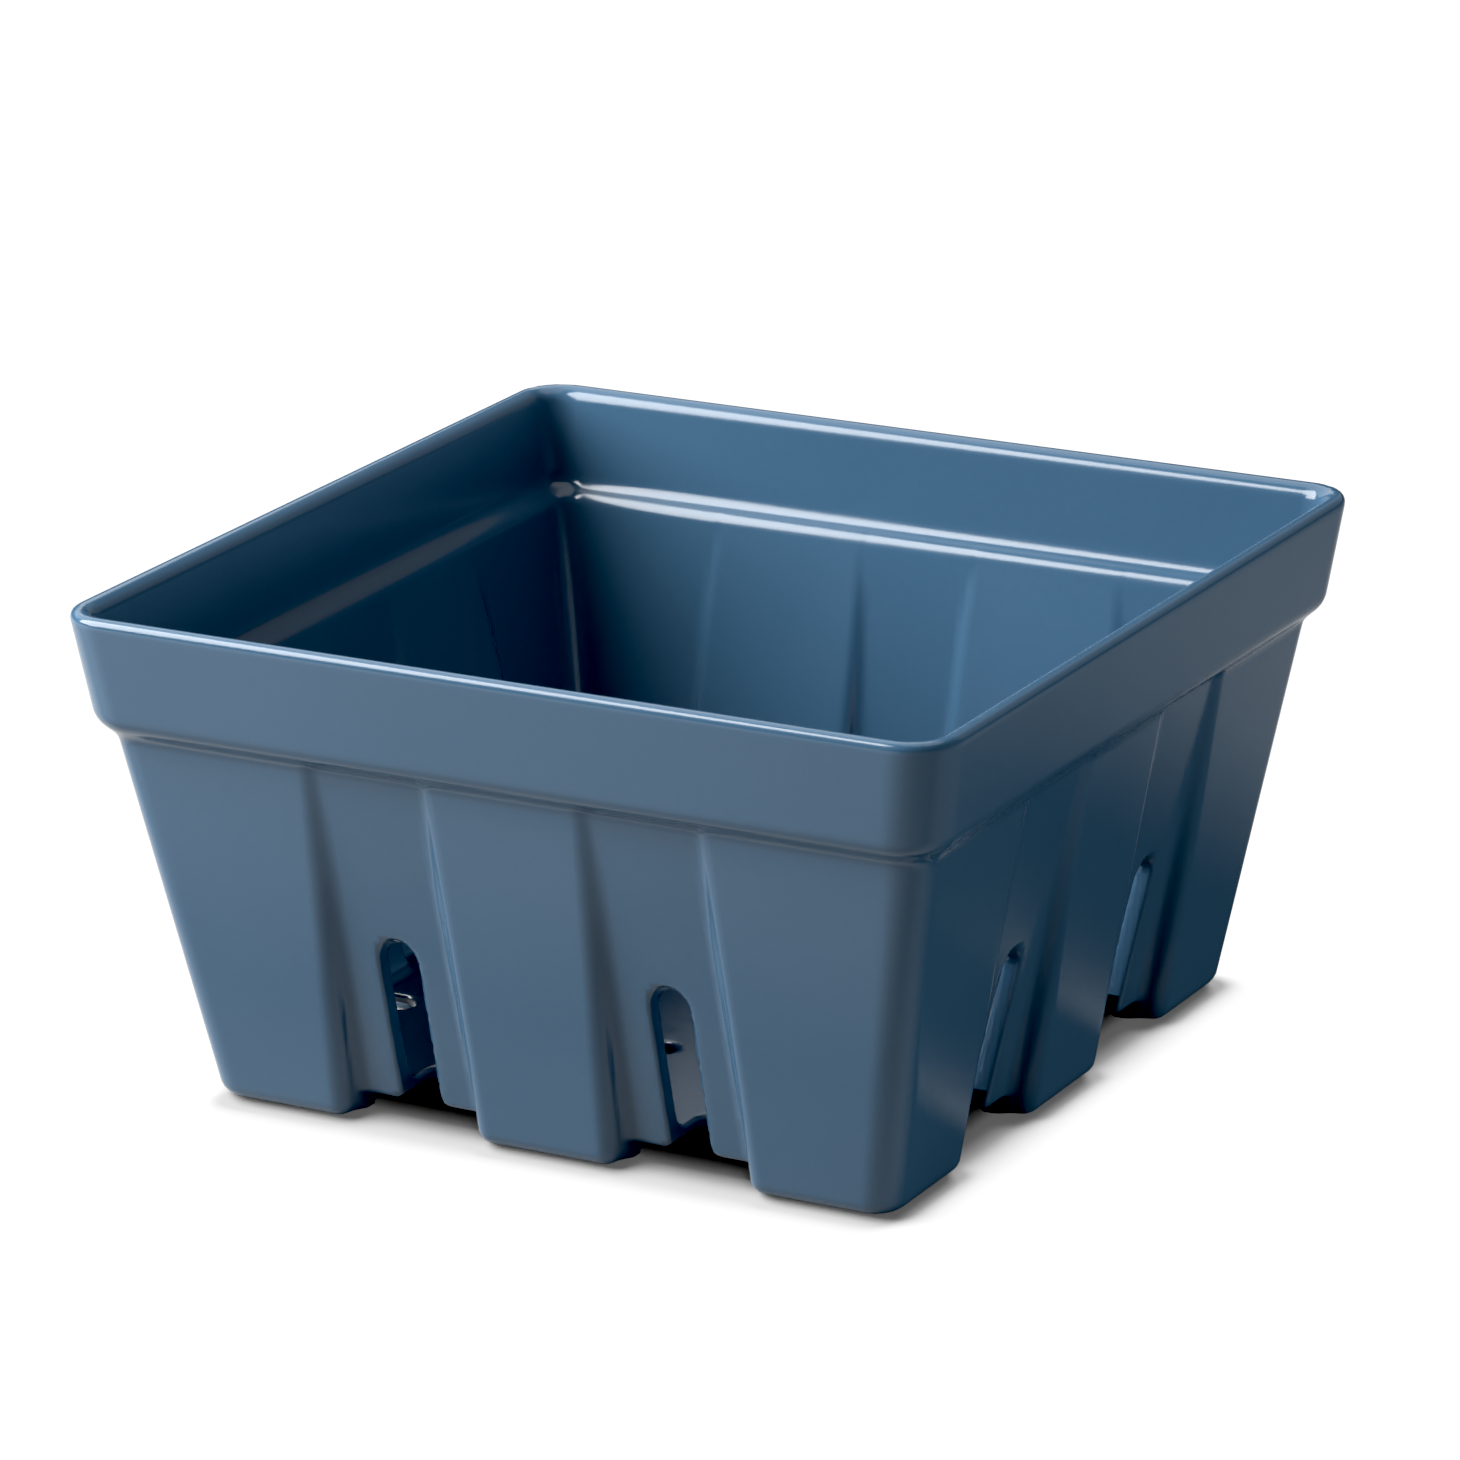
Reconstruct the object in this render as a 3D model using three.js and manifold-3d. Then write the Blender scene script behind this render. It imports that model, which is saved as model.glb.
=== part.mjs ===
// Berry colander: a square, tapered tub with a collar band, two recessed flutes on each side,
// an arched drain slot in every flute, eight feet and a raised floor with drain holes.
// The tub is worked out as one shell, then divided along its own feature lines into named solids.
// Units are millimetres, +Z up, origin at the middle of the base, front face towards -Y.

import * as THREE from "three";
import { mergeVertices } from "three/addons/utils/BufferGeometryUtils.js";
import Module from "manifold-3d";

// ---------------------------------------------------------------- driving dimensions
const HEIGHT = 75.0;              // floor of the world to the top of the lip
const RIM_HALF = 70.0;            // half the outer width at the lip
const LIP_R = 1.65;               // the lip is fully rounded
const BASE_HALF = 55.5;           // half the outer width of the feet, before their rounded edge
const BODY_TOP = [57.7, 65.57];   // z and half width at the top of the body's sloping wall
const COLLAR_LOW = [59.3, 67.95]; // z and half width at the low end of the collar's flat face
const UNDER_Z = 56.5;             // lowest level of the collar
const UNDER_R = 3.4;              // its rounded lower edge
const LEDGE = [[62.4, 58.8], [64.72, 60.4]]; // half width and z of the stacking ledge's two corners, inside
const LEDGE_R = 2.5;              // easing of those two corners
const CORNER_R = 7.6;             // plan radius of the rim's outer corners
const FOOT_R = 2.1;               // easing of the feet's outer edge
const FLOOR_R = 2.4;              // easing between floor and walls, inside
const WALL = 3.3;                 // wall thickness
const FLOOR_TOP = 5.35;           // inside of the floor
const FLOOR_LOW = 3.25;           // underside of the floor, between the feet
const FOOT_DEPTH = 8.6;           // how far a foot reaches inwards from the outer face
const RECESS_R = 4.0;             // corner radius of the recess under the floor
const FLUTE_AT = 21.9;            // flute centre line, from the middle of a side
const FLUTE_TOP = 57.2;           // level that the flutes' depths are measured from, just inside the collar
const FLUTE_LOW = 3.35;           // lower edge of a flute panel
const FLUTE_DEPTH = [0.6, 4.15];  // depth of a flute at its top and at its lower edge
const FLUTE_HALF = [8.5, 10.1];   // half width of the flute panel, at its top and at the base
const FLUTE_FLARE = 0.28;         // how much a flute's side opens per mm of depth
const MOUTH = [0.3, 1.6];         // a flute's eased edge: its share of the depth, and its flare
const RIB_TOP = 56.0;             // the flutes' backs stand into the tub as low ribs, which run out here
const RIB_DEPTH = 4.19;           // how far a rib stands in at the flute's lower edge
const RIB_HALF = 12.9;
const RIB_FLARE = 0.6;
const SLOT_W = 6.3;               // drain slot
const SLOT_TOP = 29.7;
const SLOT_REACH = 41.0;          // inner end of a slot in the floor, from the middle of the tub
const HOLE_D = 5.4;               // floor drain holes, on a square grid
const HOLE_PITCH = 21.5;
const SPLIT_Z = 56.2;             // collar and walls part here, just under the collar's edge
const FLOOR_HALF = 46.7;          // half width of the floor plate's own solid
const GAP = 0.3;                  // hairline kept between neighbouring solids

const SLOPE = (BODY_TOP[1] - BASE_HALF) / BODY_TOP[0];
const outerHalf = (z) => BASE_HALF + SLOPE * z;
const WALL_H = WALL * Math.hypot(1, SLOPE);   // wall thickness measured level

// ---------------------------------------------------------------- closed solids and booleans
const wasm = await Module();
wasm.setup();

function solid(geometry) {
  const bare = geometry.clone();
  for (const name of Object.keys(bare.attributes)) if (name !== "position") bare.deleteAttribute(name);
  const g = mergeVertices(bare, 1e-4);
  return new wasm.Manifold(new wasm.Mesh({
    numProp: 3,
    vertProperties: new Float32Array(g.attributes.position.array),
    triVerts: new Uint32Array(g.index.array),
  }));
}

function toGeometry(manifold) {
  const m = manifold.getMesh();
  const g = new THREE.BufferGeometry();
  g.setAttribute("position", new THREE.BufferAttribute(new Float32Array(m.vertProperties), 3));
  g.setIndex(new THREE.BufferAttribute(new Uint32Array(m.triVerts), 1));
  g.computeVertexNormals();
  return g;
}

// rounded square outline
function roundedSquare(half, r) {
  const s = new THREE.Shape();
  s.moveTo(-half + r, -half);
  s.lineTo(half - r, -half);
  s.absarc(half - r, -half + r, r, -Math.PI / 2, 0, false);
  s.lineTo(half, half - r);
  s.absarc(half - r, half - r, r, 0, Math.PI / 2, false);
  s.lineTo(-half + r, half);
  s.absarc(-half + r, half - r, r, Math.PI / 2, Math.PI, false);
  s.lineTo(-half, -half + r);
  s.absarc(-half + r, -half + r, r, Math.PI, Math.PI * 1.5, false);
  return s;
}

// a rounded square extruded in steps, each level then drawn to its own height and half width
function squareLoft(profile, r) {
  const big = 70, steps = profile.length - 1;
  const g = new THREE.ExtrudeGeometry(roundedSquare(big, r), { depth: steps, steps, bevelEnabled: false, curveSegments: 5 });
  const p = g.attributes.position;
  for (let i = 0; i < p.count; i++) {
    const [z, half] = profile[Math.round(p.getZ(i))];
    const k = half / big;
    p.setXYZ(i, p.getX(i) * k, p.getY(i) * k, z);
  }
  return solid(g);
}

// a block with its own width at each end and level: near = inner face, far = outer face, looking at the front
function block(low, high) {
  const g = new THREE.BoxGeometry(2, 2, 2);
  const p = g.attributes.position;
  for (let i = 0; i < p.count; i++) {
    const lv = p.getZ(i) < 0 ? low : high;
    const far = p.getY(i) < 0;
    const w = far ? lv.farHalf : lv.nearHalf;
    p.setXYZ(i, lv.x + (p.getX(i) < 0 ? -w : w), far ? -lv.far : -lv.near, lv.z);
  }
  return solid(g);
}

const quarter = (m, k) => (k === 0 ? m : m.rotate([0, 0, 90 * k]));
const onFourSides = (m) => [0, 1, 2, 3].map((k) => quarter(m, k)).reduce((a, b) => a.add(b));

// ---------------------------------------------------------------- the shell as one solid
// corners of a profile are drawn as points [half width, z], from the base up
// a corner b between a and c, eased with a curve that starts r * tan(turn / 2) away; gives [z, half width]
function eased(a, b, c, r, n) {
  const at = new THREE.Vector2(...b);
  const u = new THREE.Vector2(...a).sub(at).normalize(), v = new THREE.Vector2(...c).sub(at).normalize();
  const reach = r / Math.tan(Math.acos(u.dot(v)) / 2);
  const curve = new THREE.QuadraticBezierCurve(at.clone().addScaledVector(u, reach), at, at.clone().addScaledVector(v, reach));
  return curve.getPoints(n).map((p) => [p.y, p.x]);
}
// points of a round edge about [half width, z], from one angle to another; gives [z, half width]
function arc([x, z], r, from, to, n) {
  return Array.from({ length: n }, (_, i) => {
    const t = from + (to - from) * (i / (n - 1));
    return [z + r * Math.sin(t), x + r * Math.cos(t)];
  });
}
const collarSlope = (RIM_HALF - COLLAR_LOW[1]) / (HEIGHT - LIP_R - COLLAR_LOW[0]);
const collarHalf = (z) => COLLAR_LOW[1] + collarSlope * (z - COLLAR_LOW[0]);
const underAt = [collarHalf(UNDER_Z + UNDER_R) - UNDER_R * Math.hypot(1, collarSlope), UNDER_Z + UNDER_R];
const lipAt = [RIM_HALF - LIP_R, HEIGHT - LIP_R];
const lipIn = [RIM_HALF - 2 * LIP_R, HEIGHT - LIP_R];
const floorEdge = [LEDGE[0][0] - SLOPE * (LEDGE[0][1] - FLOOR_TOP), FLOOR_TOP];

const bodyProfile = [
  ...eased([0, 0], [BASE_HALF, 0], [outerHalf(60), 60], FOOT_R, 3),
  [60, outerHalf(60)],
];
const collarProfile = [
  ...arc(underAt, UNDER_R, -Math.PI / 2, -Math.atan(collarSlope), 5),
  ...arc(lipAt, LIP_R, 0, Math.PI / 2, 4),
];
const innerProfile = [
  ...eased([0, FLOOR_TOP], floorEdge, LEDGE[0], FLOOR_R, 3),
  ...eased(floorEdge, LEDGE[0], LEDGE[1], LEDGE_R, 3),
  ...eased(LEDGE[0], LEDGE[1], lipIn, LEDGE_R, 3),
  ...arc(lipAt, LIP_R, Math.PI, Math.PI / 2, 4).slice(0, 3),
  [HEIGHT + 0.01, RIM_HALF - LIP_R], [HEIGHT + 3, RIM_HALF - LIP_R],
];
const body = squareLoft(bodyProfile, CORNER_R);
const collarBand = squareLoft(collarProfile, CORNER_R);
const inner = squareLoft(innerProfile, CORNER_R - WALL * 0.9);

// one flute: its depth and its panel's half width at level z
const fluteDepth = (z) => FLUTE_DEPTH[0] + (FLUTE_DEPTH[1] - FLUTE_DEPTH[0]) * (FLUTE_TOP - z) / (FLUTE_TOP - FLUTE_LOW);
const panelHalf = (z) => FLUTE_HALF[1] + (FLUTE_HALF[0] - FLUTE_HALF[1]) * z / FLUTE_TOP;
const FAR = 78;
// a wedge that opens outwards, from a face that lies `near` from the middle and is `half` wide
const wedge = (x, z, near, half, flare) => ({ x, z, near, nearHalf: half, far: FAR, farHalf: half + flare * (FAR - near) });
function fluteCut(x) {           // the sunk panel between its two sides, and their eased outer edges
  const panel = (z) => wedge(x, z, outerHalf(z) - fluteDepth(z), panelHalf(z), FLUTE_FLARE);
  const mouth = (z) => wedge(x, z, outerHalf(z) - MOUTH[0] * fluteDepth(z), panelHalf(z) + FLUTE_FLARE * (1 - MOUTH[0]) * fluteDepth(z), MOUTH[1]);
  return block(panel(-1), panel(58)).add(block(mouth(-1), mouth(58)));
}
function fluteRib(x) {           // the same flute seen from inside
  const lv = (z) => wedge(x, z, outerHalf(z) - WALL_H - RIB_DEPTH * (RIB_TOP - z) / (RIB_TOP - FLUTE_LOW), RIB_HALF, RIB_FLARE);
  return block(lv(-1), lv(RIB_TOP + 0.2));
}
function slotCut(x) {
  const r = SLOT_W / 2;
  const arch = new THREE.Shape();
  arch.moveTo(-r, -2);
  arch.lineTo(r, -2);
  arch.lineTo(r, SLOT_TOP - r);
  arch.absarc(0, SLOT_TOP - r, r, 0, Math.PI, false);
  arch.lineTo(-r, -2);
  const a = new THREE.ExtrudeGeometry(arch, { depth: FAR - SLOT_REACH - r, bevelEnabled: false, curveSegments: 8 });
  a.rotateX(Math.PI / 2);                        // arch upright, running towards -Y
  a.translate(x, -SLOT_REACH - r, 0);
  const end = new THREE.CylinderGeometry(r, r, 9, 16);
  end.rotateX(Math.PI / 2);
  end.translate(x, -SLOT_REACH - r, 4.5 - 2);
  return solid(a).add(solid(end));
}
function channelCut(x) {         // daylight under a flute, between two feet
  const w = panelHalf(0);
  const lv = (z) => ({ x, z, near: 44, nearHalf: w, far: FAR, farHalf: w });
  return block(lv(-1), lv(FLUTE_LOW));
}

const both = (f) => onFourSides(f(-FLUTE_AT).add(f(FLUTE_AT)));
const recess = solid(new THREE.ExtrudeGeometry(roundedSquare(BASE_HALF - FOOT_DEPTH, RECESS_R), { depth: FLOOR_LOW + 1, bevelEnabled: false, curveSegments: 4 }).translate(0, 0, -1));
let holes = null;
for (const i of [-1, 0, 1]) for (const j of [-1, 0, 1]) {
  const c = new THREE.CylinderGeometry(HOLE_D / 2, HOLE_D / 2, 12, 14);
  c.rotateX(Math.PI / 2);
  c.translate(i * HOLE_PITCH, j * HOLE_PITCH, 4);
  holes = holes ? holes.add(solid(c)) : solid(c);
}
const shell = body.subtract(both(fluteCut)).add(collarBand)
  .subtract(inner.subtract(both(fluteRib)))
  .subtract(both(slotCut)).subtract(both(channelCut)).subtract(recess).subtract(holes);

// ---------------------------------------------------------------- regions that divide it
const h = GAP / 2;
function prism(points, z0, z1) {
  const s = new THREE.Shape(points.map(([x, y]) => new THREE.Vector2(x, y)));
  return solid(new THREE.ExtrudeGeometry(s, { depth: z1 - z0, bevelEnabled: false }).translate(0, 0, z0));
}
const mitre = h * Math.SQRT2;
const sideWedge = (z0, z1) => prism([[0, -mitre], [-100, -100 - mitre], [100, -100 - mitre]], z0, z1);
const plate = (half, z0, z1) => prism([[-half, -half], [half, -half], [half, half], [-half, half]], z0, z1);
const roundPlate = (half, z0, z1) => solid(new THREE.ExtrudeGeometry(roundedSquare(half, half - BASE_HALF + FOOT_DEPTH + RECESS_R), { depth: z1 - z0, bevelEnabled: false, curveSegments: 4 }).translate(0, 0, z0));

const walls = shell.subtract(plate(200, SPLIT_Z - h, 200)).subtract(roundPlate(FLOOR_HALF + h, -1, FLOOR_TOP + 1.2));
const floor = shell.intersect(roundPlate(FLOOR_HALF - h, -1, FLOOR_TOP + 1.2));
const collar = shell.intersect(plate(200, SPLIT_Z + h, 200));

// the strip of a front wall between two slanted lines that follow the flute creases
function strip(x0Low, x1Low, x0High, x1High) {
  const g = new THREE.BoxGeometry(2, 2, 2);
  const p = g.attributes.position;
  for (let i = 0; i < p.count; i++) {
    const top = p.getZ(i) > 0, right = p.getX(i) > 0;
    p.setXYZ(i, top ? (right ? x1High : x0High) : (right ? x1Low : x0Low), p.getY(i) < 0 ? -100 : -40, top ? 62 : -2);
  }
  return solid(g);
}
const wLow = panelHalf(-2), wHigh = panelHalf(62);
const panelStrip = (x) => strip(x - wLow + h, x + wLow - h, x - wHigh + h, x + wHigh - h);
const middleStrip = strip(-FLUTE_AT + wLow + h, FLUTE_AT - wLow - h, -FLUTE_AT + wHigh + h, FLUTE_AT - wHigh - h);
// everything from the left flute of a side to its right flute, for taking the corners out
const sideStrip = strip(-FLUTE_AT - wLow - h, FLUTE_AT + wLow + h, -FLUTE_AT - wHigh - h, FLUTE_AT + wHigh + h);

const corners = walls.subtract(onFourSides(sideStrip));
const cornerBlock = prism([[-100, -100], [-25, -100], [-25, -25], [-100, -25]], -5, 100);

// ---------------------------------------------------------------- the assembly
const colander = new THREE.Group();
const moulded = { color: 0x476881, roughness: 0.28, metalness: 0.0 };
function addPart(name, manifold) {
  const mesh = new THREE.Mesh(toGeometry(manifold), new THREE.MeshStandardMaterial(moulded));
  mesh.name = name;
  colander.add(mesh);
}

const SIDES = ["front", "right", "back", "left"];
const CORNERS = ["front_left", "front_right", "back_right", "back_left"];
const FLUTES = [["front_left", "front_right"], ["right_front", "right_back"], ["back_right", "back_left"], ["left_back", "left_front"]];
for (let k = 0; k < 4; k++) {
  addPart("collar_" + SIDES[k], collar.intersect(quarter(sideWedge(50, 90), k)));
  addPart("corner_post_" + CORNERS[k], corners.intersect(quarter(cornerBlock, k)));
  addPart("middle_post_" + SIDES[k], walls.intersect(quarter(middleStrip, k)));
  addPart("flute_panel_" + FLUTES[k][0], walls.intersect(quarter(panelStrip(-FLUTE_AT), k)));
  addPart("flute_panel_" + FLUTES[k][1], walls.intersect(quarter(panelStrip(FLUTE_AT), k)));
}
addPart("drain_floor", floor);

export default colander;
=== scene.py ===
"""Berry colander: one moulded shell on a pale floor, in soft studio light."""

import bpy
import numpy as np
from mathutils import Matrix, Vector


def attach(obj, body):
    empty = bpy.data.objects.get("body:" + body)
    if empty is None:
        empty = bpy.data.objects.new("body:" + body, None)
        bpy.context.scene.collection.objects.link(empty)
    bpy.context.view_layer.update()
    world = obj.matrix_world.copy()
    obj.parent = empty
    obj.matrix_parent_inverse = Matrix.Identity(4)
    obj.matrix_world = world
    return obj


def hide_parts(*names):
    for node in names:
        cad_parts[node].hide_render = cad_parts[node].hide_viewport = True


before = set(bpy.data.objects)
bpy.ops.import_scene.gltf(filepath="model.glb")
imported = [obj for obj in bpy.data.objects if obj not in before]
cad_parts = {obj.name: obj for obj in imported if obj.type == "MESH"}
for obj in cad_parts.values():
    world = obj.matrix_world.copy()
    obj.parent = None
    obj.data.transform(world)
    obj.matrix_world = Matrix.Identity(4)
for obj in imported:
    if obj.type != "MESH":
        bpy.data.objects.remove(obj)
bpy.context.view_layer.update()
scene = bpy.context.scene

# ---------------------------------------------------------------- sizes, in mm

HEIGHT = 75.0
LIP_OUT_R, LIP_IN_R = 1.4, 1.9  # the lip is round all over
WALL = 3.3
BASE_HALF = 55.2  # outer half width of the body where it meets the table
BODY_TOP_Z, BODY_TOP_HALF = 57.7, 65.2  # top of the body, at the step
LINING_BASE, LINING_TOP = 52.15, 62.22  # inner half width of the walls, at the same two heights
COLLAR_Z, COLLAR_HALF = 59.3, 67.95  # low end of the collar's flat face
COLLAR_SLOPE = 0.1421
CORNER_BASE_R, CORNER_TOP_R, CORNER_COLLAR_R = 4.9, 5.1, 7.6
LINING_BASE_R, LINING_TOP_R = 2.84, 3.26
UNDER_Z, UNDER_R, CREASE_R = 57.0, 3.2, 1.6  # rounded lower edge of the collar
LEDGE_HALF, LEDGE_Z, LEDGE_TILT = 63.6, 59.65, 33.0  # stacking ledge inside
LEDGE_R = 0.85
FOOT_R = 2.1
FLOOR_TOP, FLOOR_LOW, FLOOR_R = 5.35, 3.25, 2.4
RECESS_HALF, RECESS_R = 46.9, 4.0  # hollow under the floor, inside the feet
FLUTE_AT, FLUTE_TOP, FLUTE_LOW = 21.9, 57.2, 3.35
FLUTE_DEPTH_TOP, FLUTE_DEPTH_LOW, FLUTE_FLARE = 0.6, 4.15, 0.24
FLUTE_HALF_TOP, FLUTE_HALF_BASE = 8.5, 10.1
FLUTE_FLOOR_R, FLUTE_EDGE_R = 1.4, 2.0
RIB_TOP, RIB_RISE, RIB_HALF, RIB_FLARE, RIB_R = 57.4, 0.0776, 12.9, 0.6, 1.0  # the flutes, seen inside
SLOT_HALF, SLOT_TOP, SLOT_REACH, SLOT_EDGE, SLOT_FOOT_R = 3.15, 29.9, 41.0, 0.55, 1.4
SLOT_OUT, SLOT_FALL = 57.6, 0.46
HOLE_R, HOLE_PITCH, HOLE_EDGE = 2.7, 21.5, 0.5

BODY_SLOPE = (BODY_TOP_HALF - BASE_HALF) / BODY_TOP_Z
BODY_COS = 1.0 / np.hypot(1.0, BODY_SLOPE)
LINING_SLOPE = (LINING_TOP - LINING_BASE) / BODY_TOP_Z
COLLAR_COS = 1.0 / np.hypot(1.0, COLLAR_SLOPE)
LEDGE_SIN, LEDGE_COS = np.sin(np.radians(LEDGE_TILT)), np.cos(np.radians(LEDGE_TILT))

# ------------------------------------------------------- the shape, as a field
# The field is negative in the material and zero on its surface.


def both(a, b, r):
    """Where a and b are both inside, with the edge between them rounded to r."""
    return np.minimum(-r, np.maximum(a, b)) + np.hypot(
        np.maximum(a + r, 0), np.maximum(b + r, 0)
    )


def either(a, b, r):
    """Where a or b is inside, with the crease between them filled to r."""
    return np.maximum(r, np.minimum(a, b)) - np.hypot(
        np.maximum(r - a, 0), np.maximum(r - b, 0)
    )


def round_square(a, b, half, r):
    """Distance from a square with rounded corners, in plan."""
    p, q = a - half + r, b - half + r
    return (
        np.hypot(np.maximum(p, 0), np.maximum(q, 0))
        + np.minimum(np.maximum(p, q), 0)
        - r
    )


def flute_depth(z):
    return FLUTE_DEPTH_TOP + (FLUTE_DEPTH_LOW - FLUTE_DEPTH_TOP) * (FLUTE_TOP - z) / (
        FLUTE_TOP - FLUTE_LOW
    )


def flute(across, deep, z):
    """The sides and the sunk panel of the two flutes on one side: across runs along the side and deep runs out of it."""
    panel = BASE_HALF + BODY_SLOPE * z - flute_depth(z)
    half = FLUTE_HALF_BASE + (FLUTE_HALF_TOP - FLUTE_HALF_BASE) * z / FLUTE_TOP
    slope = BODY_SLOPE + (FLUTE_DEPTH_LOW - FLUTE_DEPTH_TOP) / (FLUTE_TOP - FLUTE_LOW)
    side = (np.abs(across - FLUTE_AT) - half - FLUTE_FLARE * (deep - panel)) / np.hypot(
        1.0, FLUTE_FLARE
    )
    return side, (deep - panel) / np.hypot(1.0, slope)


def fluted(body, across, deep, z, edge_r, floor_r):
    """The body with flutes in one pair of sides: round-edged posts, joined by the panels between them."""
    side, panel = flute(across, deep, z)
    posts = both(body, -side, edge_r)
    sunk = np.maximum(np.maximum(body, panel), side - 8.0)
    return either(posts, sunk, np.clip(0.8 * flute_depth(z), 0.05, floor_r))


def rib(across, deep, z):
    """The back of the two flutes on one side, which stands into the tub as a low rib that runs out below the ledge."""
    depth = RIB_RISE * (RIB_TOP - z)
    crest = LINING_BASE + LINING_SLOPE * z - depth
    side = (np.abs(across - FLUTE_AT) - RIB_HALF - RIB_FLARE * (deep - crest)) / np.hypot(
        1.0, RIB_FLARE
    )
    return both((crest - deep) * BODY_COS, side, RIB_R), depth


def slot(across, deep, z):
    """The arched drain slot in each flute panel, which runs on into the floor and ends round there."""
    off = across - FLUTE_AT
    top = SLOT_TOP - SLOT_FALL * np.maximum(SLOT_OUT - deep, 0)
    arch = np.hypot(off, np.maximum(z - top + SLOT_HALF, 0)) - SLOT_HALF
    reach = np.hypot(off, np.maximum(SLOT_REACH + SLOT_HALF - deep, 0)) - SLOT_HALF
    return np.maximum(arch, reach)


def channel(across, deep, z):
    """The gap under each flute panel, between two feet."""
    side = np.abs(across - FLUTE_AT) - FLUTE_HALF_BASE
    return np.maximum(np.maximum(side, z - FLUTE_LOW), RECESS_HALF - 3.0 - deep)


def shell(x, y, z):
    a, b = np.abs(x), np.abs(y)
    corner = CORNER_BASE_R + (CORNER_TOP_R - CORNER_BASE_R) * z / BODY_TOP_Z
    body = round_square(a, b, BASE_HALF + BODY_SLOPE * z, corner) * BODY_COS
    collar = (
        round_square(
            a, b, COLLAR_HALF + COLLAR_SLOPE * (z - COLLAR_Z), CORNER_COLLAR_R
        )
        * COLLAR_COS
    )
    outside = fluted(body, a, b, z, FLUTE_EDGE_R, FLUTE_FLOOR_R)
    outside = fluted(outside, b, a, z, FLUTE_EDGE_R, FLUTE_FLOOR_R)
    outside = either(outside, both(collar, UNDER_Z - z, UNDER_R), CREASE_R)
    outside = both(outside, -z, FOOT_R)

    corner = LINING_BASE_R + (LINING_TOP_R - LINING_BASE_R) * z / BODY_TOP_Z
    ribbed = round_square(a, b, LINING_BASE + LINING_SLOPE * z, corner) * BODY_COS
    for across, deep in ((a, b), (b, a)):
        field, depth = rib(across, deep, z)
        ribbed = both(ribbed, -field, np.clip(0.8 * depth, 0.02, RIB_R))
    ledge = (
        round_square(a, b, LEDGE_HALF, CORNER_COLLAR_R - WALL) * LEDGE_SIN
        - (z - LEDGE_Z) * LEDGE_COS
    )
    cavity = either(ribbed, both(ledge, collar + WALL, LEDGE_R), LEDGE_R)
    cavity = both(cavity, FLOOR_TOP - z, FLOOR_R)

    solid = np.maximum(
        both(outside, z - HEIGHT, LIP_OUT_R), both(-cavity, z - HEIGHT, LIP_IN_R)
    )
    recess = np.maximum(round_square(a, b, RECESS_HALF, RECESS_R), z - FLOOR_LOW)
    solid = both(solid, -recess, 0.7)
    gap = np.minimum(channel(a, b, z), channel(b, a, z))
    drain = np.minimum(slot(a, b, z), slot(b, a, z))
    solid = both(solid, -either(gap, drain, SLOT_FOOT_R), SLOT_EDGE)
    hole = (
        np.hypot(
            np.minimum(a, np.abs(a - HOLE_PITCH)), np.minimum(b, np.abs(b - HOLE_PITCH))
        )
        - HOLE_R
    )
    return both(solid, -hole, HOLE_EDGE)


def gradient(p, h=0.01):
    g = np.empty_like(p)
    for axis in range(3):
        d = np.zeros(3)
        d[axis] = h
        g[:, axis] = (shell(*(p + d).T) - shell(*(p - d).T)) / (2 * h)
    return g


# --------------------------------------------------------- the shell as a mesh


def lines(start, *runs):
    """Grid lines from start, in runs of (end, step)."""
    out = [start]
    for end, step in runs:
        n = max(1, round((end - out[-1]) / step))
        out.extend(np.linspace(out[-1], end, n + 1)[1:])
    return np.array(out)


def quad_net(f, nodes):
    """One vertex for each grid cell that the surface passes through, and one quad for each grid edge that it crosses."""
    shape = np.array(f.shape)
    cells = shape - 1
    inside = f < 0
    pairs, points, quads = [], [], []
    for axis in range(3):
        lo = [slice(None)] * 3
        hi = [slice(None)] * 3
        lo[axis], hi[axis] = slice(None, -1), slice(1, None)
        lo, hi = tuple(lo), tuple(hi)
        at = np.argwhere(inside[lo] != inside[hi])
        to = at.copy()
        to[:, axis] += 1
        f0, f1 = f[tuple(at.T)], f[tuple(to.T)]
        t = f0 / (f0 - f1)
        where = np.stack(
            [n[tuple(at.T)] + t * (n[tuple(to.T)] - n[tuple(at.T)]) for n in nodes], 1
        )
        u, v = (axis + 1) % 3, (axis + 2) % 3
        ring = []
        for du, dv in ((1, 1), (0, 1), (0, 0), (1, 0)):
            c = at.copy()
            c[:, u] -= du
            c[:, v] -= dv
            ring.append(np.ravel_multi_index(tuple(c.T), tuple(cells)))
        ring = np.stack(ring, 1)
        ring[f0 > 0] = ring[f0 > 0][:, ::-1]
        quads.append(ring)
        for k in range(4):
            pairs.append(ring[:, k])
            points.append(where)
    quads = np.concatenate(quads)
    pairs, points = np.concatenate(pairs), np.concatenate(points)
    used, index = np.unique(pairs, return_inverse=True)
    count = np.bincount(index)
    verts = np.stack([np.bincount(index, points[:, k]) / count for k in range(3)], 1)
    return verts, np.searchsorted(used, quads)


def settle(p, steps=4):
    """Moves points onto the surface."""
    for _ in range(steps):
        g = gradient(p)
        step = shell(*p.T) / np.maximum((g * g).sum(1), 0.25)
        p = p - g * np.clip(step, -0.6, 0.6)[:, None]
    return p


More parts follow.
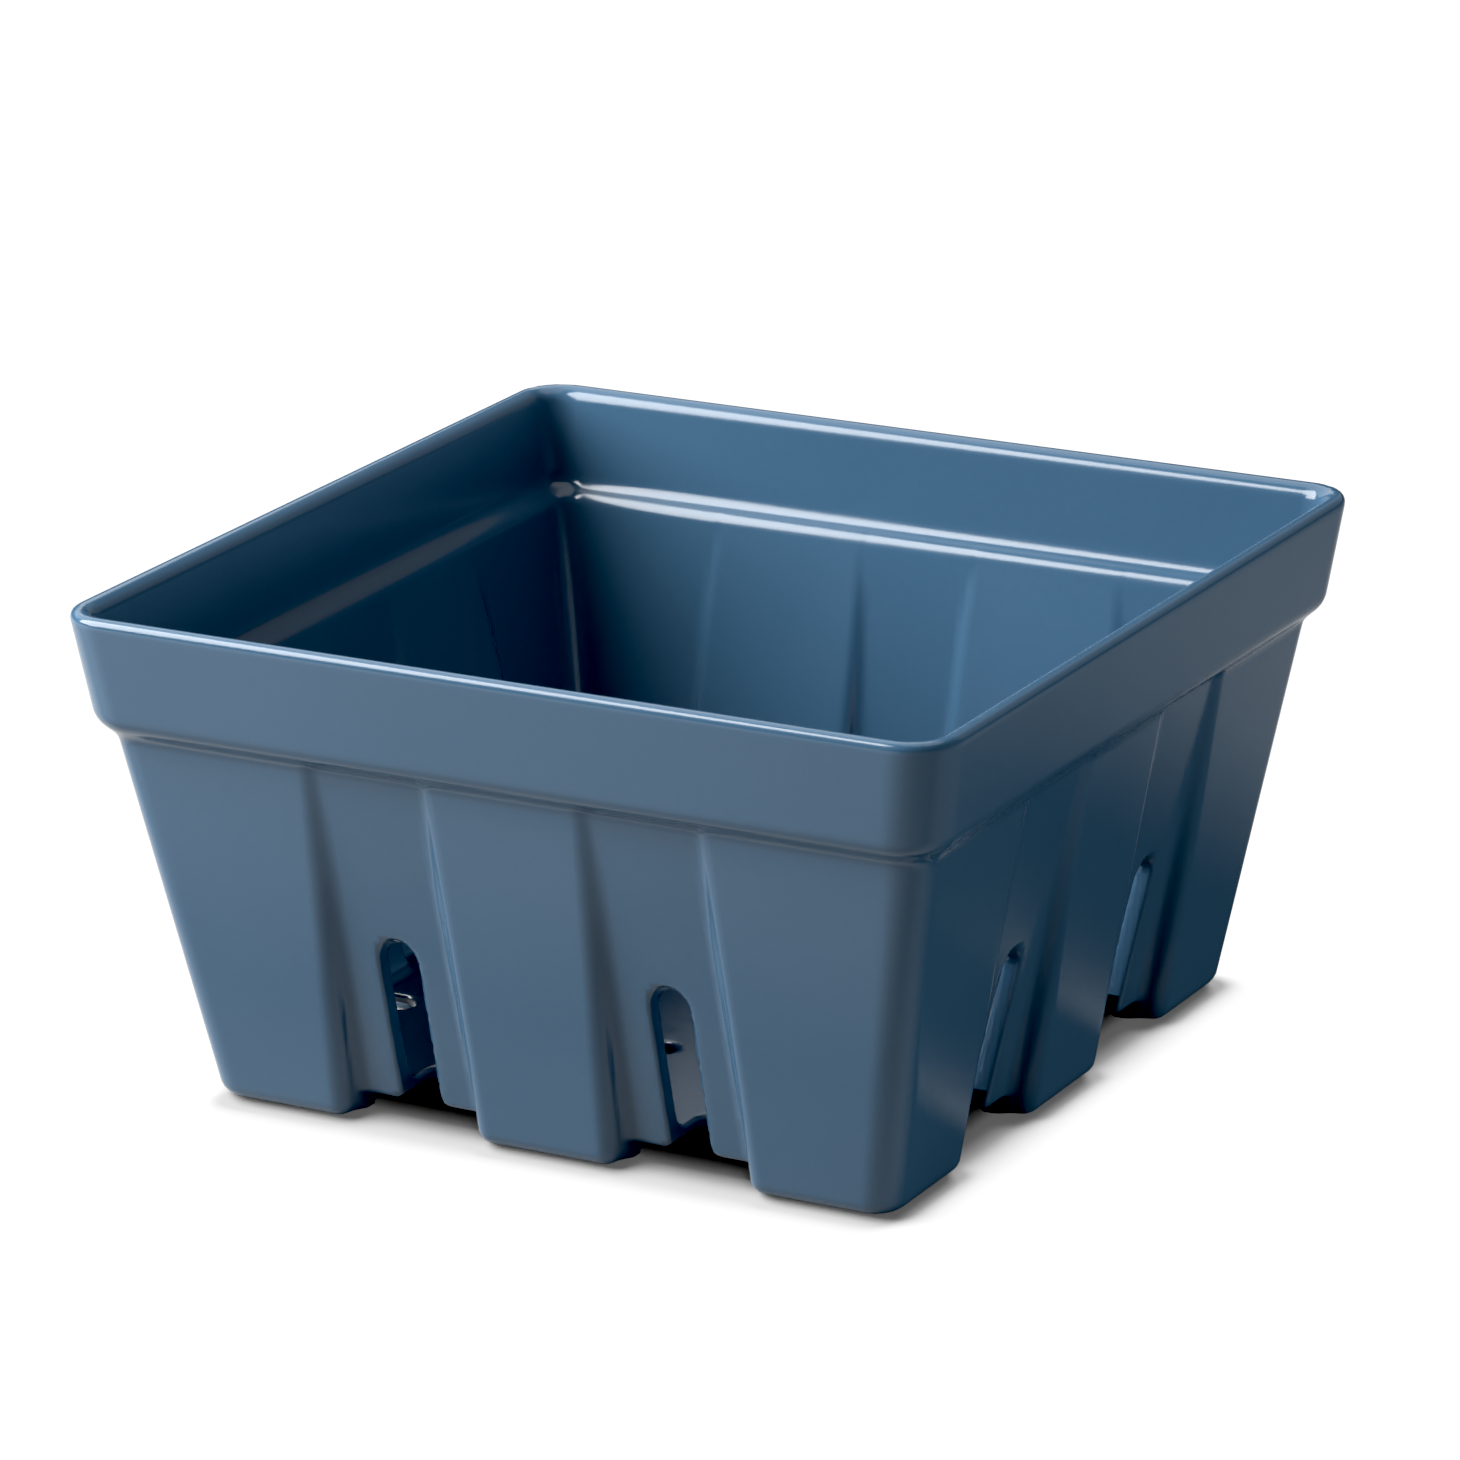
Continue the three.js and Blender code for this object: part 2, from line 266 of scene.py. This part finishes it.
def build_shell():
    # plan lines, with knots that lean with the walls and with the flutes' edges
    low = np.array([0.0, 3.6, 9.0, 17.8, 26.0, 34.8, 43.0, BASE_HALF + 0.55, 64.0])
    top = np.array([0.0, 3.6, 12.0, 17.8, 26.0, 31.8, 43.0, BODY_TOP_HALF + 0.55, 72.0])
    half = lines(
        0.0,
        (3.6, 0.72),
        (8.2, 1.53),
        (14.6, 0.8),
        (17.8, 1.06),
        (26.0, 0.82),
        (29.2, 1.06),
        (35.6, 0.8),
        (43.0, 1.85),
        (BODY_TOP_HALF - 9.35, 1.2),
        (BODY_TOP_HALF + 0.55, 1.1),
        (72.0, 0.98),
    )
    z = lines(
        -1.25,
        (7.15, 0.7),
        (24.6, 2.49),
        (30.8, 0.88),
        (55.0, 2.42),
        (63.0, 0.57),
        (71.6, 2.87),
        (74.72, 0.52),
        (75.9, 0.59),
    )
    rise = np.clip(z / BODY_TOP_Z, -0.05, 1.0)
    grid = np.stack([np.interp(half, top, low + (top - low) * t) for t in rise], 1)
    # above the step the outer lines lean with the collar
    grid += (
        np.clip((half - 58.0) / 6.0, 0.0, 1.0)[:, None]
        * COLLAR_SLOPE
        * np.clip(z - COLLAR_Z, 0.0, None)
    )
    n, m = len(half), len(z)
    qx = np.broadcast_to(grid[:, None, :], (n, n, m))
    qy = np.broadcast_to(grid[None, :, :], (n, n, m))
    qz = np.broadcast_to(z, (n, n, m))
    quarter = shell(qx, qy, qz)
    f = np.concatenate([quarter[:0:-1], quarter], 0)
    f = np.concatenate([f[:, :0:-1], f], 1)
    full = np.concatenate([-grid[:0:-1], grid], 0)
    k = 2 * n - 1
    nodes = (
        np.broadcast_to(full[:, None, :], (k, k, m)),
        np.broadcast_to(full[None, :, :], (k, k, m)),
        np.broadcast_to(z, (k, k, m)),
    )
    verts, quads = quad_net(f, nodes)
    verts = settle(verts)
    # evens the quads out along the surface
    ends = np.concatenate([quads[:, [i, (i + 1) % 4]] for i in range(4)])
    for _ in range(3):
        total = np.stack(
            [np.bincount(ends[:, 0], verts[ends[:, 1], c], len(verts)) for c in range(3)]
            , 1)
        total += np.stack(
            [np.bincount(ends[:, 1], verts[ends[:, 0], c], len(verts)) for c in range(3)]
            , 1)
        degree = np.bincount(ends.ravel(), minlength=len(verts))[:, None]
        g = gradient(verts)
        g /= np.linalg.norm(g, axis=1, keepdims=True)
        move = 0.45 * (total / degree - verts)
        verts = settle(verts + move - g * (move * g).sum(1, keepdims=True), 2)
    verts = settle(verts, 2)
    normals = gradient(verts, 0.5)
    normals /= np.linalg.norm(normals, axis=1, keepdims=True)
    return verts, quads, normals


verts, quads, normals = build_shell()
mesh = bpy.data.meshes.new("colander_shell")
mesh.from_pydata((verts * 0.001).tolist(), [], quads.tolist())
mesh.polygons.foreach_set("use_smooth", np.ones(len(quads), bool))
mesh.update()
mesh.normals_split_custom_set_from_vertices(normals.tolist())
colander = bpy.data.objects.new("colander_shell", mesh)
scene.collection.objects.link(colander)
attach(colander, "root")
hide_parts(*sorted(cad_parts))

# -------------------------------------------------------------------- material

blue = bpy.data.materials.new("moulded_blue")
blue.use_nodes = True
tree = blue.node_tree
bsdf = tree.nodes["Principled BSDF"]
bsdf.inputs["IOR"].default_value = 1.54


def node(kind, **values):
    made = tree.nodes.new(kind)
    for name, value in values.items():
        made.inputs[name.replace("_", " ")].default_value = value
    return made


def noise(scale, detail, roughness):
    made = node("ShaderNodeTexNoise", Scale=scale, Detail=detail, Roughness=roughness)
    tree.links.new(place.outputs["Object"], made.inputs["Vector"])
    return made.outputs["Fac"]


def between(fac, low, high, start=0.3, end=0.7):
    made = node("ShaderNodeMapRange", From_Min=start, From_Max=end, To_Min=low, To_Max=high)
    tree.links.new(fac, made.inputs["Value"])
    return made.outputs["Result"]


place = tree.nodes.new("ShaderNodeTexCoord")
# colour: wide, faint clouds from the melt, and a finer fleck of the filler
clouds = node("ShaderNodeMix")
clouds.data_type = "RGBA"
for socket, colour in zip(
    [one for one in clouds.inputs if one.type == "RGBA"],
    [(0.0545, 0.1215, 0.2020, 1), (0.0600, 0.1305, 0.2160, 1)],
):
    socket.default_value = colour
fleck = node("ShaderNodeMix")
fleck.data_type = "FLOAT"
fleck.inputs[0].default_value = 0.35
tree.links.new(between(noise(34.0, 3.0, 0.5), 0.0, 1.0), fleck.inputs[2])
tree.links.new(between(noise(900.0, 2.0, 0.6), 0.0, 1.0), fleck.inputs[3])
tree.links.new(fleck.outputs[0], clouds.inputs[0])
tree.links.new(
    next(one for one in clouds.outputs if one.type == "RGBA"), bsdf.inputs["Base Color"]
)
# gloss: a polished mould, a little uneven
tree.links.new(between(noise(60.0, 4.0, 0.55), 0.135, 0.185), bsdf.inputs["Roughness"])
# surface: the faint orange peel of a moulding
peel = node("ShaderNodeBump", Strength=0.05, Distance=0.0002)
tree.links.new(noise(420.0, 2.0, 0.5), peel.inputs["Height"])
tree.links.new(peel.outputs["Normal"], bsdf.inputs["Normal"])
mesh.materials.append(blue)

# ----------------------------------------------------------------------- stage
# Three sheets make the floor. One bounces the key light softly onto the colander and one
# is seen in its gloss. The third is what the camera sees: it is lit evenly by lamps of
# its own, and only the colander's feet take that light away, so it stays white up to
# a short shadow, as a sweep lit from all round does.


def sheet(name, size, z, material):
    half = size / 2
    data = bpy.data.meshes.new(name)
    data.from_pydata(
        [(-half, -half, z), (half, -half, z), (half, half, z), (-half, half, z)],
        [],
        [(0, 1, 2, 3)],
    )
    data.materials.append(material)
    made = bpy.data.objects.new(name, data)
    scene.collection.objects.link(made)
    return made


def matt(name, grey):
    made = bpy.data.materials.new(name)
    made.use_nodes = True
    shader = made.node_tree.nodes["Principled BSDF"]
    shader.inputs["Base Color"].default_value = (grey, grey, grey, 1)
    shader.inputs["Roughness"].default_value = 0.9
    shader.inputs["Specular IOR Level"].default_value = 0.2
    return made


bounce = sheet("floor_bounce", 8.0, 0.0, matt("grey_floor", 0.25))
bounce.visible_camera = False
bounce.visible_glossy = False
bounce.visible_shadow = False
mirrored = sheet("floor_mirrored", 8.0, 0.0001, matt("pale_floor_painted_shade", 0.6))
# painted shade: the sheet seen in the gloss is coloured darker towards the right, away from the key, and darker close
# to the front of the colander, as painted shadow of the colander there
shades = mirrored.data.materials[0].node_tree


def ramp(value, *ends):
    made = shades.nodes.new("ShaderNodeMapRange")
    for name, end in zip(("From Min", "From Max", "To Min", "To Max"), ends):
        made.inputs[name].default_value = end
    shades.links.new(value, made.inputs["Value"])
    return made.outputs["Result"]


def sums(kind, value, other):
    made = shades.nodes.new("ShaderNodeMath")
    made.operation = kind
    shades.links.new(value, made.inputs[0])
    if isinstance(other, float):
        made.inputs[1].default_value = other
    else:
        shades.links.new(other, made.inputs[1])
    return made.outputs["Value"]


plan = shades.nodes.new("ShaderNodeSeparateXYZ")
shades.links.new(shades.nodes.new("ShaderNodeTexCoord").outputs["Object"], plan.inputs["Vector"])
ahead = sums("ADD", plan.outputs["Y"], 0.082)
ahead = sums("MAXIMUM", ahead, sums("MULTIPLY", ahead, -1.0))
# painted shade and painted shadow of the colander, put into the colour of the sheet seen in the gloss
painted_shade = sums(
    "MULTIPLY",
    ramp(plan.outputs["X"], 0.05, 0.13, 0.68, 0.46),
    ramp(ahead, 0.0, 0.03, 0.7, 1.0),
)
shades.links.new(painted_shade, shades.nodes["Principled BSDF"].inputs["Base Color"])
mirrored.visible_camera = False
mirrored.visible_diffuse = False
mirrored.visible_shadow = False
floor = sheet("floor", 8.0, -0.0001, matt("pale_sweep", 0.85))
floor.visible_diffuse = False
floor.visible_glossy = False
floor.visible_transmission = False
floor.visible_shadow = False

world = bpy.data.worlds.new("studio")
scene.world = world
world.use_nodes = True
world.node_tree.nodes["Background"].inputs["Color"].default_value = (1, 1, 1, 1)
world.node_tree.nodes["Background"].inputs["Strength"].default_value = 1.0
# the white all round is only what the camera sees behind the floor: the lamps do the lighting
world.cycles_visibility.diffuse = False
world.cycles_visibility.glossy = False
world.cycles_visibility.transmission = False
world.cycles_visibility.scatter = False


def lights_only(name, *objects):
    made = bpy.data.collections.new(name)
    for one in objects:
        made.objects.link(one)
    return made


low = verts[quads][:, :, 2].max(1) < 3.4
used, corners = np.unique(quads[low], return_inverse=True)
block = [
    (x * half, y * half, z)
    for z, half in ((3.3, 51.0), (6.5, 51.9))
    for x, y in ((-1, -1), (1, -1), (1, 1), (-1, 1))
]
sides = [(0, 1, 5, 4), (1, 2, 6, 5), (2, 3, 7, 6), (3, 0, 4, 7), (4, 5, 6, 7)]
points = np.concatenate([(verts - 0.4 * normals)[used], np.array(block)])
data = bpy.data.meshes.new("foot_shade")
data.from_pydata(
    (points * 0.001).tolist(),
    [],
    corners.reshape(-1, 4).tolist() + [[len(used) + k for k in one] for one in sides],
)
shade = bpy.data.objects.new("foot_shade", data)
scene.collection.objects.link(shade)
shade.visible_camera = False
shade.visible_diffuse = False
shade.visible_glossy = False
shade.visible_transmission = False

on_set = lights_only("on_set", colander, bounce, mirrored)
on_tub = lights_only("on_tub", colander)
on_floor = lights_only("on_floor", floor)
by_feet = lights_only("by_feet", shade)


def softbox(name, at, aim, size, watts, lit):
    data = bpy.data.lights.new(name, "AREA")
    data.shape = "RECTANGLE"
    data.size, data.size_y = size
    data.energy = watts
    lamp = bpy.data.objects.new(name, data)
    scene.collection.objects.link(lamp)
    lamp.location = at
    lamp.rotation_euler = (Vector(at) - Vector(aim)).to_track_quat("Z", "Y").to_euler()
    lamp.light_linking.receiver_collection = lit
    lamp.visible_camera = False
    return lamp


def wash(name, azimuth, elevation, spread, strength):
    data = bpy.data.lights.new(name, "SUN")
    data.angle = np.radians(spread)
    data.energy = strength
    lamp = bpy.data.objects.new(name, data)
    scene.collection.objects.link(lamp)
    a, e = np.radians(azimuth), np.radians(elevation)
    towards = Vector((np.cos(a) * np.cos(e), np.sin(a) * np.cos(e), np.sin(e)))
    lamp.rotation_euler = towards.to_track_quat("Z", "Y").to_euler()
    lamp.light_linking.receiver_collection = on_floor
    lamp.light_linking.blocker_collection = by_feet


softbox("key", (-0.56, -0.39, 0.55), (0, 0, 0.04), (0.66, 0.757), 18.0, on_set)
softbox("rim", (-1.0, 0.62, 1.2), (0, 0, 0.04), (1.9, 1.6), 14.5, on_tub)
fill = softbox("fill", (1.75, 0.4, 0.1), (0, 0, 0.04), (1.8, 0.22), 12.8, on_tub)
fill.visible_glossy = False
softbox("top", (0.2, 0.2, 1.5), (0, 0, 0.04), (1.2, 1.2), 5.0, on_tub)
behind = softbox("behind", (-0.1, 1.75, 0.1), (0, 0, 0.04), (1.8, 0.22), 12.0, on_tub)
behind.visible_glossy = False
softbox("back", (0.3, 1.6, 0.75), (0, 0, 0.04), (1.6, 0.9), 1.3, on_tub)
wash("wash_left", 180, 50, 50, 3.365)
wash("wash_back", 100, 40, 30, 1.74)
wash("wash_front", -50, 33, 30, 0.84)

# ---------------------------------------------------------------------- camera

cam_data = bpy.data.cameras.new("camera")
cam_data.sensor_width = 36.0
cam_data.lens = 180.01
cam_data.clip_start, cam_data.clip_end = 0.05, 50.0
camera = bpy.data.objects.new("camera", cam_data)
scene.collection.objects.link(camera)
right = Vector((0.88082547, 0.47329902, -0.01159847))
up = Vector((-0.13665172, 0.2776164, 0.95092347))
back = Vector((0.45329107, -0.83601266, 0.30920872))
pose = Matrix((right, up, back)).transposed().to_4x4()
pose.translation = Vector((0.482978, -0.888996, 0.376416))
camera.matrix_world = pose
scene.camera = camera

scene.view_settings.view_transform = "Standard"
scene.view_settings.use_curve_mapping = True
scene.view_settings.curve_mapping.black_level = (0.012, 0.012, 0.012)
scene.view_settings.curve_mapping.update()

bpy.context.view_layer.update()
